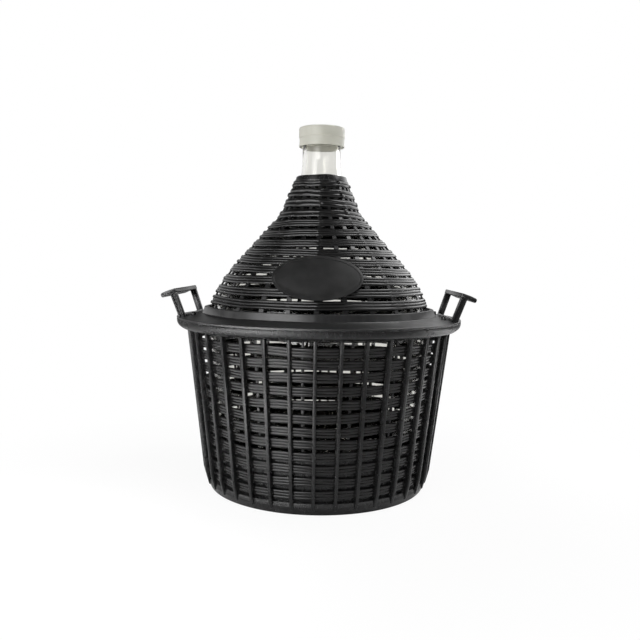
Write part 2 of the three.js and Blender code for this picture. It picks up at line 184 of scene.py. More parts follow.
class HandleSizes(bpy.types.PropertyGroup):
    """Sizes of the side handles"""

    span: length("Span", "Outside width over the two posts", 0.124)
    height: length("Height", "Height along the lean", 0.040)
    depth: length("Depth", "Depth of a post", 0.0082)
    lean: angle("Lean", "Outward lean", 19.2)
    post: length("Post", "Width of a post", 0.007)
    sill: length("Sill", "Height of the bar between the posts' feet", 0.0056)
    grip: length("Grip", "Thickness of the grip", 0.0056)
    reach: length("Reach", "Reach of the grip's lip", 0.0152)
    drop: length("Drop", "Drop of the lip's tip", 0.0009)
    middle: length("Middle", "From the axis to the middle of the posts", 0.1666)
    splay: bpy.props.FloatProperty(
        name="Splay", description="Share by which the span is wider at the grip", default=0.07, min=0.0,
        max=1.0, subtype="FACTOR",
    )


class Finishes(bpy.types.PropertyGroup):
    """Colours of the pieces"""

    strand: colour("Strands", "Moulded strands", (0.0062, 0.0061, 0.0061))
    frame: colour("Frame", "Ribs, stakes, rim, flange and handles", (0.0082, 0.0082, 0.0084))
    plate: colour("Plate", "Oval plate", (0.0095, 0.0095, 0.0095))
    glass: colour("Glass", "Clear glass", (0.850, 0.846, 0.822))
    cap: colour("Cap", "Natural plastic", (0.66, 0.655, 0.59))
    floor: colour("Floor", "Pale floor", (0.90, 0.90, 0.90))


class StageSettings(bpy.types.PropertyGroup):
    """Camera and light"""

    distance: length("Distance", "From the camera to the axis", 0.9447)
    camera_height: length("Camera height", "Height of the camera", 0.2900)
    focal: bpy.props.FloatProperty(
        name="Focal length", description="Lens in millimetres", default=40.5, min=1.0, unit="CAMERA",
    )
    azimuth: angle("Azimuth", "Camera's turn towards +X", 1.2)
    pitch: angle("Pitch", "Camera's look downwards", 4.606)
    aside: angle("Aside", "Camera's look to the right of the axis", 0.085)
    roll: angle("Roll", "Camera's roll", 0.95)
    key_power: watts("Key", "Power of the left softbox", 0.95)
    front_power: watts("Front", "Power of the softbox beside the camera", 0.62)
    side_power: watts("Side", "Power of the high softbox on the right", 1.50)
    back_power: watts("Back", "Power of the softbox behind on the right", 4.2)
    left_pool: watts("Left pool", "Power of the lamp that lights the floor on the left", 9.3)
    right_pool: watts("Right pool", "Power of the lamp that lights the floor on the right", 2.7)


# Mesh helpers

def clamp(value):
    return max(0.0, min(1.0, value))


def rounded(corners, steps=8):
    """Outline of (radius, height) points through (radius, height, fillet) corners."""
    outline = []
    for i, (radius, height, fillet) in enumerate(corners):
        corner = Vector((radius, height))
        if not fillet:
            outline.append(corner)
            continue
        back = (Vector(corners[i - 1][:2]) - corner).normalized()
        on = (Vector(corners[(i + 1) % len(corners)][:2]) - corner).normalized()
        reach = fillet / math.tan(back.angle(on) / 2)
        start = corner + back * reach
        end = corner + on * reach
        for k in range(steps + 1):
            t = k / steps
            outline.append(start.lerp(corner, t).lerp(corner.lerp(end, t), t))
    return outline


def run_length(outline):
    """Length of an outline."""
    return sum((b - a).length for a, b in zip(outline, outline[1:]))


def along(outline, distance):
    """Point and direction at a distance from the outline's start."""
    for a, b in zip(outline, outline[1:]):
        step = (b - a).length
        if distance <= step:
            break
        distance -= step
    direction = (b - a).normalized()
    return a + direction * distance, direction


def reach_height(outline, height):
    """Distance along a rising outline at which it reaches a height."""
    distance = 0.0
    for a, b in zip(outline, outline[1:]):
        if b.y >= height:
            return distance + (b - a).length * (height - a.y) / (b.y - a.y)
        distance += (b - a).length
    raise ValueError("The outline does not reach that height.")


def turn_of(point):
    """Angle round the axis, from the front towards +X."""
    return math.atan2(point.x, -point.y)


def everything(bm):
    return bm.verts[:] + bm.edges[:] + bm.faces[:]


def new_verts(made):
    """Vertices among what an operator made."""
    return [item for item in made["geom"] if isinstance(item, bmesh.types.BMVert)]


def spin_round(bm, steps):
    """Spins everything in the mesh a full turn round the axis."""
    bmesh.ops.spin(
        bm, geom=everything(bm), cent=(0, 0, 0), axis=(0, 0, 1), angle=FULL_TURN, steps=steps, use_merge=True,
    )


def lathe(outline, steps, closed=False):
    """Turned shape of an outline, whose ends meet on the axis or in each other."""
    bm = bmesh.new()
    verts = [bm.verts.new((p.x, 0.0, p.y)) for p in outline]
    for pair in zip(verts, verts[1:]):
        bm.edges.new(pair)
    if closed:
        bm.edges.new((verts[-1], verts[0]))
    spin_round(bm, steps)
    bmesh.ops.remove_doubles(bm, verts=bm.verts, dist=1e-6)
    return bm


def repeat_round(bm, copies):
    """Copies everything in the mesh round the axis."""
    bmesh.ops.spin(
        bm, geom=everything(bm), cent=(0, 0, 0), axis=(0, 0, 1),
        angle=FULL_TURN * (copies - 1) / copies, steps=copies - 1, use_duplicate=True,
    )


def half_step(bm, copies):
    """Turns the mesh by half the space from one copy to the next."""
    turn = Matrix.Rotation(FULL_TURN / copies / 2, 4, "Z")
    bmesh.ops.transform(bm, matrix=turn, verts=bm.verts)


def bevelled_box(bm, size, bevel, matrix):
    """Box with bevelled edges, whose vertices are returned."""
    verts = bmesh.ops.create_cube(bm, size=1.0, matrix=Matrix.Diagonal((*size, 1.0)))["verts"]
    edges = list(dict.fromkeys(edge for vert in verts for edge in vert.link_edges))
    made = bmesh.ops.bevel(
        bm, geom=edges, offset=bevel, segments=2, profile=0.5, affect="EDGES", material=-1,
    )
    verts = list(dict.fromkeys(vert for face in made["faces"] for vert in face.verts))
    bmesh.ops.transform(bm, matrix=matrix, verts=verts)
    return verts


def share_out(low, room, strands, lap):
    """Middles and width of the strands that fill a band, each of which laps over the next."""
    pitch = room / (strands + lap)
    width = (1.0 + lap) * pitch
    return [low + width / 2 + strand * pitch for strand in range(strands)], width


def add_strand(bm, layer, number, point, direction, depth, width, bulge):
    """One strand's section, ready to be spun. A bulge of 1 is round and 0 is a flat strip."""
    ring = bmesh.ops.create_circle(bm, cap_ends=False, segments=8, radius=0.5)["verts"]
    for vert in ring:
        vert.co.x = math.copysign(abs(2 * vert.co.x) ** bulge, vert.co.x) / 2
    place = (
        Matrix.Translation((point.x, 0.0, point.y))
        @ Matrix.Rotation(math.atan2(direction.x, direction.y), 4, "Y")
        @ Matrix.Diagonal((depth, 1.0, width, 1.0))
        @ Matrix.Rotation(math.pi / 2, 4, "X")
    )
    bmesh.ops.transform(bm, matrix=place, verts=ring)
    for vert in ring:
        vert[layer] = number


def wave(turn, number, kinds, least, shift):
    """Wave round the axis, whose beats and start differ from one number to the next."""
    return math.sin((number % kinds + least) * turn + shift * number)


def weave(bm, layer, sizes, stakes, swell, slope):
    """Lets the strands swell past the stakes, and their bands tilt and drift up and down the wall."""
    full_tilt_band = 3
    for vert in bm.verts:
        number = vert[layer]
        band = number // BAND_STEP
        turn = turn_of(vert.co)
        slow = wave(turn, band, kinds=3, least=4, shift=2.1)
        quick = wave(turn, band, kinds=4, least=9, shift=1.7)
        strand = wave(turn, number, kinds=5, least=6, shift=2.4)
        side = wave(turn, band, kinds=1, least=1, shift=0.9)
        rise = sizes.drift * (0.65 * slow + 0.35 * quick + 0.08 * strand)
        rise += sizes.tilt * min(1.0, band / full_tilt_band) * side
        out = Vector((vert.co.x, vert.co.y, 0.0)).normalized()
        vert.co += out * (swell * math.cos(stakes / 2 * turn + math.pi * number) + rise * slope[band])
        vert.co.z += rise


def tie_knots(bm, layer, sizes):
    """Lets the strands stand out, some more than others, where two panels meet."""
    panel = FULL_TURN / sizes.panel_count
    knot_reach = 0.0024
    for vert in bm.verts:
        turn = turn_of(vert.co)
        seam = round(turn / panel)
        out = Vector((vert.co.x, vert.co.y, 0.0))
        aside = (turn - seam * panel) * out.length / knot_reach
        size = 0.5 + 0.5 * math.sin(2.7 * vert[layer] + 1.9 * seam)
        vert.co += out.normalized() * sizes.knot * size * math.exp(-aside * aside)


def flatten_panels(bm, sizes, weight=lambda point: 1.0, layer=None):
    """Flattens the bell into panels whose seams stand proud, a little apart from strand to strand."""
    seam_stray = math.radians(1.6)
    for vert in bm.verts:
        stray = seam_stray * math.sin(5.1 * vert[layer]) if layer else 0.0
        factor = 1.0 + weight(vert.co) * panel_shift(turn_of(vert.co) + stray, sizes)
        vert.co.x *= factor
        vert.co.y *= factor


def panel_shift(turn, sizes):
    """Share of the radius by which the panels lie above or below a round bell."""
    panel = FULL_TURN / sizes.panel_count
    seam_lift = 0.0233
    flat_share = 0.6
    local = turn % panel - panel / 2
    flat = math.cos(panel / 2) / math.cos(local) - 1.0
    lobe = (math.cos(panel / 2) - 1.0) * (1.0 + math.cos(sizes.panel_count * turn + math.pi)) / 2
    return sizes.panel_flat * (seam_lift + flat_share * flat + (1.0 - flat_share) * lobe)


def bar_along(outer, inward, width):
    """Solid bar whose outer face follows an outline in the XZ plane."""
    bm = bmesh.new()
    verts = [bm.verts.new((p.x, 0.0, p.y)) for p in outer]
    edges = [bm.edges.new(pair) for pair in zip(verts, verts[1:])]
    inner = new_verts(bmesh.ops.extrude_edge_only(bm, edges=edges))
    bmesh.ops.translate(bm, verts=inner, vec=(-inward.x, 0.0, -inward.y))
    bmesh.ops.translate(bm, verts=verts + inner, vec=(0.0, -width / 2, 0.0))
    far = new_verts(bmesh.ops.extrude_face_region(bm, geom=bm.faces[:]))
    bmesh.ops.translate(bm, verts=far, vec=(0.0, width, 0.0))
    return bm


def make_piece(name, bm, body, material, replaces=(), sharp=SHARP):
    """Makes a mesh a piece that rides on a body, with its finish and the nodes that it stands for."""
    bmesh.ops.recalc_face_normals(bm, faces=bm.faces)
    mesh = bpy.data.meshes.new(name)
    bm.to_mesh(mesh)
    bm.free()
    mesh.shade_smooth()
    mesh.set_sharp_from_angle(angle=math.radians(sharp))
    mesh.materials.append(material)
    piece = bpy.data.objects.new(name, mesh)
    bpy.context.scene.collection.objects.link(piece)
    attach(piece, body)
    if replaces:
        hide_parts(*replaces)
    return piece


def trim(piece, cutter, operation):
    """Takes a cutter's volume off a piece, or keeps only that, and removes the cutter."""
    holder = bpy.data.objects.new("cutter", bpy.data.meshes.new("cutter"))
    bmesh.ops.recalc_face_normals(cutter, faces=cutter.faces)
    cutter.to_mesh(holder.data)
    cutter.free()
    bpy.context.scene.collection.objects.link(holder)
    step = piece.modifiers.new("trim", "BOOLEAN")
    step.operation = operation
    step.solver = "EXACT"
    step.object = holder
    graph = bpy.context.evaluated_depsgraph_get()
    mesh = bpy.data.meshes.new_from_object(piece.evaluated_get(graph))
    piece.modifiers.clear()
    piece.data = mesh
    mesh.set_sharp_from_angle(angle=math.radians(SHARP))
    bpy.data.objects.remove(holder)


# Shared outlines

def bottle_corners(sizes):
    """Heel, shoulder, neck and mouth of the bottle's outside."""
    base = BOTTLE_LOW.z
    shoulder = base + sizes.shoulder_height
    rise = (sizes.shoulder_radius - sizes.neck_radius) / math.tan(sizes.shoulder_angle)
    return [
        Vector((sizes.base_radius, base)),
        Vector((sizes.shoulder_radius, shoulder)),
        Vector((sizes.neck_radius, shoulder + rise)),
        Vector((sizes.neck_radius, BOTTLE_HIGH.z)),
    ]


def offset_corners(corners, distance):
    """Corners of a line that runs beside another one."""
    legs = [(b - a).normalized() for a, b in zip(corners, corners[1:])]
    moved = []
    for i, corner in enumerate(corners):
        before = legs[max(i - 1, 0)]
        after = legs[min(i, len(legs) - 1)]
        side = Vector((before.y + after.y, -before.x - after.x))
        moved.append(corner + side * distance / (1.0 + before.dot(after)))
    return moved


def bell_outline(scene):
    """Outside of the bell, from the flange up to the mouth."""
    sizes = scene.demijohn_cover
    foot, bend, top = offset_corners(bottle_corners(scene.demijohn_bottle)[:3], sizes.room)
    collar = COVER_HIGH.z - sizes.collar
    share = (collar - bend.y) / (top.y - bend.y)
    mouth_radius = 0.0320
    return rounded([
        (foot.x, foot.y, 0.0),
        (bend.x, bend.y, 0.156),
        (bend.x + (top.x - bend.x) * share, collar, 0.030),
        (mouth_radius, COVER_HIGH.z, 0.0),
    ], steps=12)


def wall_radius(sizes, height):
    """Outer radius of the basket's bands at a height."""
    return sizes.wall_radius + height * math.tan(sizes.wall_lean)


# Materials

def shade(base, factor):
    return [min(1.0, c * factor) for c in base]


def new_finish(name):
    """Material with its node tree and its shader."""
    material = bpy.data.materials.new(name)
    material.use_nodes = True
    tree = material.node_tree
    return material, tree, tree.nodes["Principled BSDF"]


def noise_over(tree, stretch, scale, detail):
    """Noise on the object's own coordinates, stretched along some of them."""
    place = tree.nodes.new("ShaderNodeTexCoord")
    mapping = tree.nodes.new("ShaderNodeMapping")
    mapping.inputs["Scale"].default_value = stretch
    noise = tree.nodes.new("ShaderNodeTexNoise")
    noise.inputs["Scale"].default_value = scale
    noise.inputs["Detail"].default_value = detail
    tree.links.new(place.outputs["Object"], mapping.inputs["Vector"])
    tree.links.new(mapping.outputs["Vector"], noise.inputs["Vector"])
    return noise.outputs["Fac"]


def spread(tree, value, low, high):
    """Maps the middle of a noise onto a range."""
    node = tree.nodes.new("ShaderNodeMapRange")
    node.inputs["From Min"].default_value = 0.3
    node.inputs["From Max"].default_value = 0.7
    node.inputs["To Min"].default_value = low
    node.inputs["To Max"].default_value = high
    tree.links.new(value, node.inputs["Value"])
    return node.outputs["Result"]


def tone(tree, value, dark, light):
    """Blends two colours by a value."""
    ramp = tree.nodes.new("ShaderNodeValToRGB")
    ramp.color_ramp.elements[0].position = 0.32
    ramp.color_ramp.elements[0].color = (*dark, 1.0)
    ramp.color_ramp.elements[1].position = 0.70
    ramp.color_ramp.elements[1].color = (*light, 1.0)
    tree.links.new(value, ramp.inputs["Fac"])
    return ramp.outputs["Color"]


def bump(tree, shader, value, strength, distance):
    """Lets a value raise the surface."""
    node = tree.nodes.new("ShaderNodeBump")
    node.inputs["Strength"].default_value = strength
    node.inputs["Distance"].default_value = distance
    tree.links.new(value, node.inputs["Height"])
    tree.links.new(node.outputs["Normal"], shader.inputs["Normal"])


def plastic(name, base, stretch, gloss, grain, shine):
    """Black moulded plastic with drawn streaks, patchy gloss and a fine grain."""
    found = bpy.data.materials.get(name)
    if found:
        return found
    material, tree, shader = new_finish(name)
    streaks = noise_over(tree, stretch, scale=1.0, detail=5.0)
    streaked = tone(tree, streaks, dark=shade(base, 0.75), light=shade(base, 1.6))
    tree.links.new(streaked, shader.inputs["Base Color"])
    patches = noise_over(tree, EVEN, scale=46.0, detail=6.0)
    tree.links.new(spread(tree, patches, *gloss), shader.inputs["Roughness"])
    shader.inputs["Specular IOR Level"].default_value = shine
    bump(tree, shader, streaks, strength=grain, distance=0.0006)
    return material


def strand_plastic(scene):
    """Glossy plastic, streaked along the strands."""
    return plastic(
        "strand_plastic", scene.demijohn_finishes.strand, stretch=(12.0, 12.0, 420.0),
        gloss=(0.14, 0.26), grain=0.10, shine=0.32,
    )


def flange_plastic_painted_paler(scene):
    """Satin plastic of the flange, its colour painted paler than the frame's, as painted light for the light
    that the flange's top catches.
    """
    return plastic(
        # The 1.3 times paler colour is painted light: the flange is the frame's own plastic, lit from above.
        "flange_plastic_painted_paler", shade(scene.demijohn_finishes.frame, 1.3), stretch=(220.0, 220.0, 60.0),
        gloss=(0.30, 0.40), grain=0.04, shine=0.58,
    )


def frame_plastic(scene):
    """Smooth plastic of the ribs, stakes, rim and handles."""
    return plastic(
        "frame_plastic", scene.demijohn_finishes.frame, stretch=(220.0, 220.0, 60.0),
        gloss=(0.22, 0.30), grain=0.03, shine=0.36,
    )


def plate_plastic(scene):
    """Dull plastic of the oval plate."""
    return plastic(
        "plate_plastic", scene.demijohn_finishes.plate, stretch=(60.0, 60.0, 60.0),
        gloss=(0.46, 0.58), grain=0.08, shine=0.2,
    )


# Operators

class DEMIJOHN_OT_bottle(bpy.types.Operator):
    """Blow the clear glass bottle"""

    bl_idname = "demijohn.bottle"
    bl_label = "Glass bottle"

    def execute(self, context):
        sizes = context.scene.demijohn_bottle
        heel, shoulder, neck, mouth = bottle_corners(sizes)
        inside = offset_corners([heel, shoulder, neck, mouth], -sizes.glass)
        lip = mouth.y - sizes.lip_height
        base_glass = 0.006
        floor = heel.y + base_glass
        heel_share = 0.03
        inner_heel = inside[0].x + (inside[1].x - inside[0].x) * heel_share
        ring = 0.018
        kick_bend = sizes.kick * 0.6
        outline = rounded([
            (0.0, heel.y + sizes.kick, 0.0),
            (heel.x * 0.62, heel.y + kick_bend, 0.02),
            (heel.x - ring, heel.y, 0.004),
            (heel.x, heel.y + 0.001, 0.014),
            (shoulder.x, shoulder.y, 0.148),
            (neck.x, neck.y, 0.135),
            (neck.x, lip - 0.003, 0.0),
            (sizes.lip_radius, lip, 0.0018),
            (sizes.lip_radius, mouth.y, 0.0022),
            (inside[3].x, mouth.y, 0.0020),
            (inside[2].x, inside[2].y, 0.139),
            (inside[1].x, inside[1].y, 0.144),
            (inner_heel, floor, 0.014),
            (heel.x * 0.60, floor + kick_bend, 0.02),
            (0.0, floor + sizes.kick, 0.0),
        ], steps=10)
        make_piece(
            "glass_bottle_clear", lathe(outline, steps=128), "bottle", self.glass(context.scene),
            ("glass_bottle",), sharp=60.0,
        )
        return {"FINISHED"}

    def glass(self, scene):
        """Clear glass with faint ripples and smudges."""
        material, tree, shader = new_finish("clear_glass")
        tint = scene.demijohn_finishes.glass
        ripple = noise_over(tree, (1.0, 1.0, 0.45), scale=26.0, detail=2.0)
        tree.links.new(tone(tree, ripple, shade(tint, 0.97), tint), shader.inputs["Base Color"])
        smudge = noise_over(tree, EVEN, scale=60.0, detail=5.0)
        tree.links.new(spread(tree, smudge, low=0.0, high=0.03), shader.inputs["Roughness"])
        shader.inputs["Transmission Weight"].default_value = 1.0
        shader.inputs["IOR"].default_value = 1.32
        bump(tree, shader, ripple, strength=0.06, distance=0.002)
        return material


class DEMIJOHN_OT_cap(bpy.types.Operator):
    """Mould the cloudy snap cap"""

    bl_idname = "demijohn.cap"
    bl_label = "Snap cap"

    def execute(self, context):
        sizes = context.scene.demijohn_cap
        top = CAP_HIGH.z
        hem_rise, hem = 0.0016, 0.0004
        low = CAP_LOW.z + hem_rise
        band = CAP_HIGH.x
        step = 0.0006
        skirt = band - step
        bore = skirt - sizes.wall
        seat = BOTTLE_HIGH.z + GAP
        outline = rounded([
            (0.0, top - sizes.dish, 0.0),
            (band * 0.72, top - sizes.dish, 0.0006),
            (band * 0.78, top, 0.0006),
            (band, top, 0.0020),
            (band, top - sizes.band, 0.0004),
            (skirt, top - sizes.band - 0.0007, 0.0003),
            (skirt, low + 0.0026, 0.0003),
            (skirt + hem, low + 0.0020, 0.0002),
            (skirt + hem, low, 0.0005),
            (bore + 0.0002, low, 0.0004),
            (bore, low + 0.002, 0.0),
            (bore, seat, 0.0006),
            (0.0, seat, 0.0),
        ], steps=4)
        make_piece(
            "cap_cloudy", lathe(outline, steps=96), "cap", self.cloudy(context.scene), ("cap",),
        )
        return {"FINISHED"}

    def cloudy(self, scene):
        """Cloudy plastic that lets some light through."""
        material, tree, shader = new_finish("cloudy_plastic")
        base = scene.demijohn_finishes.cap
        cloud = noise_over(tree, (1.0, 1.0, 0.6), scale=55.0, detail=2.0)
        tree.links.new(tone(tree, cloud, base, shade(base, 1.03)), shader.inputs["Base Color"])
        tree.links.new(spread(tree, cloud, low=0.36, high=0.42), shader.inputs["Roughness"])
        shader.inputs["Transmission Weight"].default_value = 0.6
        shader.inputs["IOR"].default_value = 1.35
        bump(tree, shader, cloud, strength=0.01, distance=0.0005)
        return material


class DEMIJOHN_OT_basket_bands(bpy.types.Operator):
    """Lay the basket's bands of three strands"""

    bl_idname = "demijohn.basket_bands"
    bl_label = "Basket bands"

    def execute(self, context):
        sizes = context.scene.demijohn_basket
        bm = bmesh.new()
        layer = bm.verts.layers.int.new("strand")
        lean = Vector((math.tan(sizes.wall_lean), 1.0)).normalized()
        for row in range(sizes.row_count - 1):
            low = sizes.first_row + row * sizes.row_pitch + sizes.slot / 2
            heights, width = share_out(low, sizes.row_pitch - sizes.slot, strands=3, lap=0.4)
            for number, height in enumerate(heights, BAND_STEP * row):
                point = Vector((wall_radius(sizes, height) - sizes.strand_depth / 2, height))
                add_strand(bm, layer, number, point, lean, sizes.strand_depth, width, bulge=0.9)
        spin_round(bm, ROUND_STEPS)
        slope = [math.tan(sizes.wall_lean)] * sizes.row_count
        weave(bm, layer, sizes, sizes.rib_count, swell=0.0002, slope=slope)
        make_piece(
            "basket_bands", bm, "basket", strand_plastic(context.scene), ("basket",), sharp=80.0,
        )
        return {"FINISHED"}


class DEMIJOHN_OT_basket_frame(bpy.types.Operator):
    """Mould the basket's ribs, stakes, rim, base, and a dark web of painted shade behind the low slots"""

    bl_idname = "demijohn.basket_frame"
    bl_label = "Basket frame"

    def execute(self, context):
        sizes = context.scene.demijohn_basket
        finish = frame_plastic(context.scene)
        self.uprights(sizes, finish)
        self.rim(sizes, finish)
        self.base(sizes, finish)
        self.shade_web(sizes, finish)
        return {"FINISHED"}

    def upright(self, sizes, low, high, radius_shift, width, depth):
        """One upright bar on the +X side of the wall."""
        bm = bmesh.new()
        foot = Vector((wall_radius(sizes, low) + radius_shift, 0.0, low))
        head = Vector((wall_radius(sizes, high) + radius_shift, 0.0, high))
        size = (depth, width, (head - foot).length)
        place = Matrix.Translation((foot + head) / 2) @ Matrix.Rotation(sizes.wall_lean, 4, "Y")
        bevelled_box(bm, size, bevel=0.0011, matrix=place)
        return bm

    def uprights(self, sizes, finish):
        """Outer ribs, and stakes behind the bands."""
        rim_low = BASKET_HIGH.z - 0.0065
        root = 0.0014
        depth = sizes.rib_depth + root
        ribs = self.upright(
            sizes, sizes.rib_start, rim_low, sizes.rib_depth - depth / 2, sizes.rib_width, depth,
        )
        self.taper(sizes, ribs)
        repeat_round(ribs, sizes.rib_count)
        make_piece("basket_ribs", ribs, "basket", finish)
        thick = 0.0030
        sunk = 0.0006
        shift = -sizes.strand_depth + sunk - thick / 2
        stakes = self.upright(sizes, STAKE_FOOT, rim_low, shift, sizes.stake_width, thick)
        half_step(stakes, sizes.rib_count)
        repeat_round(stakes, sizes.rib_count // 2)
        make_piece("basket_stakes", stakes, "basket", finish)

    def taper(self, sizes, ribs):
        """Lets the ribs stand out less towards their lower ends."""
        start, run = 0.024, 0.018
        loss = 0.55
        bmesh.ops.bisect_plane(ribs, geom=everything(ribs), plane_co=(0, 0, start), plane_no=(0, 0, 1))
        for vert in ribs.verts:
            below = clamp((start - vert.co.z) / run)
            skin = wall_radius(sizes, vert.co.z)
            vert.co.x -= max(0.0, vert.co.x - skin) * loss * below

    def rim(self, sizes, finish):
        """Flared rim over the highest band."""
        top = BASKET_HIGH.z
        edge = BASKET_HIGH.y
        bore_top, bore_low = 0.1609, 0.1592
        low = sizes.first_row + (sizes.row_count - 1) * sizes.row_pitch + sizes.slot / 2
        wall = wall_radius(sizes, low)
        outline = rounded([
            (bore_top, top, 0.0),
            (edge - 0.0007, top, 0.0004),
            (edge - 0.0014, top - 0.0066, 0.010),
            (wall + 0.0112, top - 0.0108, 0.006),
            (wall + 0.0012, low + 0.0024, 0.0020),
            (wall, low + 0.0014, 0.0003),
            (wall - sizes.strand_depth, low + 0.0014, 0.0),
            (bore_low, low + 0.0022, 0.0),
        ], steps=6)
        make_piece("basket_rim", lathe(outline, steps=180, closed=True), "basket", finish)

    def base(self, sizes, finish):
        """Floor on a foot ring, with a plain band below the slots."""
        foot_bore, foot_edge = 0.1338, 0.1398
        floor_low, floor_top = 0.0080, 0.0110
        inside = 0.1364
        bulge, bulge_height = 0.0016, 0.0090
        thick = 0.0045
        top = sizes.first_row - sizes.slot / 2
        wall = wall_radius(sizes, top)
        outline = rounded([
            (0.0, floor_low, 0.0),
            (foot_bore, floor_low, 0.0),
            (foot_bore, 0.0, 0.0006),
            (foot_edge, 0.0, 0.0012),
            (wall_radius(sizes, bulge_height) + bulge, bulge_height, 0.004),
            (wall, top, 0.0008),
            (wall - thick, top, 0.0008),
            (inside, floor_top, 0.0008),
            (0.0, floor_top, 0.0),
        ], steps=4)
        make_piece("basket_base", lathe(outline, steps=180), "basket", finish)

    def shade_web(self, sizes, finish):
        """Dark web that closes the low slots from behind: painted shade, a sheet standing in for the shade
        inside the basket's foot.
        """
        low = STAKE_FOOT
        behind = 0.0008
        inset = sizes.strand_depth + behind
        thick = 0.0014
        outline = rounded([
            (wall_radius(sizes, low) - inset, low, 0.0),
            (wall_radius(sizes, sizes.shade_web) - inset, sizes.shade_web, 0.0004),
            (wall_radius(sizes, sizes.shade_web) - inset - thick, sizes.shade_web, 0.0004),
            (wall_radius(sizes, low) - inset - thick, low, 0.0),
        ], steps=3)
        make_piece("basket_shade_web", lathe(outline, steps=144, closed=True), "basket", finish)


class DEMIJOHN_OT_cover_bands(bpy.types.Operator):
    """Lay the bell cover's bands of strands, three in each and two in the collar"""

    bl_idname = "demijohn.cover_bands"
    bl_label = "Cover bands"

    def execute(self, context):
        sizes = context.scene.demijohn_cover
        outline = bell_outline(context.scene)
        first = reach_height(outline, sizes.first_row)
        mouth_ring = 0.006
        end = run_length(outline) - mouth_ring
        bm = bmesh.new()
        layer = bm.verts.layers.int.new("strand")
        slope = []
        for row in range(sizes.row_count):
            low = first + row * sizes.row_pitch + sizes.slot / 2
            high = first + (row + 1) * sizes.row_pitch - sizes.slot / 2
            strands = 2 if row >= sizes.row_count - sizes.collar_rows else 3
            distances, width = share_out(low, min(high, end) - low, strands, lap=0.12)
            for number, distance in enumerate(distances, BAND_STEP * row):
                point, direction = along(outline, distance)
                side = Vector((direction.y, -direction.x))
                middle = point - side * sizes.strand_depth / 2
                add_strand(bm, layer, number, middle, direction, sizes.strand_depth, width, bulge=0.42)
            slope.append(direction.x / direction.y)
        spin_round(bm, ROUND_STEPS)
        weave(bm, layer, sizes, sizes.stake_count, swell=0.0001, slope=slope)
        tie_knots(bm, layer, sizes)
        flatten_panels(bm, sizes, layer=layer)
        make_piece(
            "cover_bands", bm, "cover", strand_plastic(context.scene), ("cover",), sharp=80.0,
        )
        return {"FINISHED"}


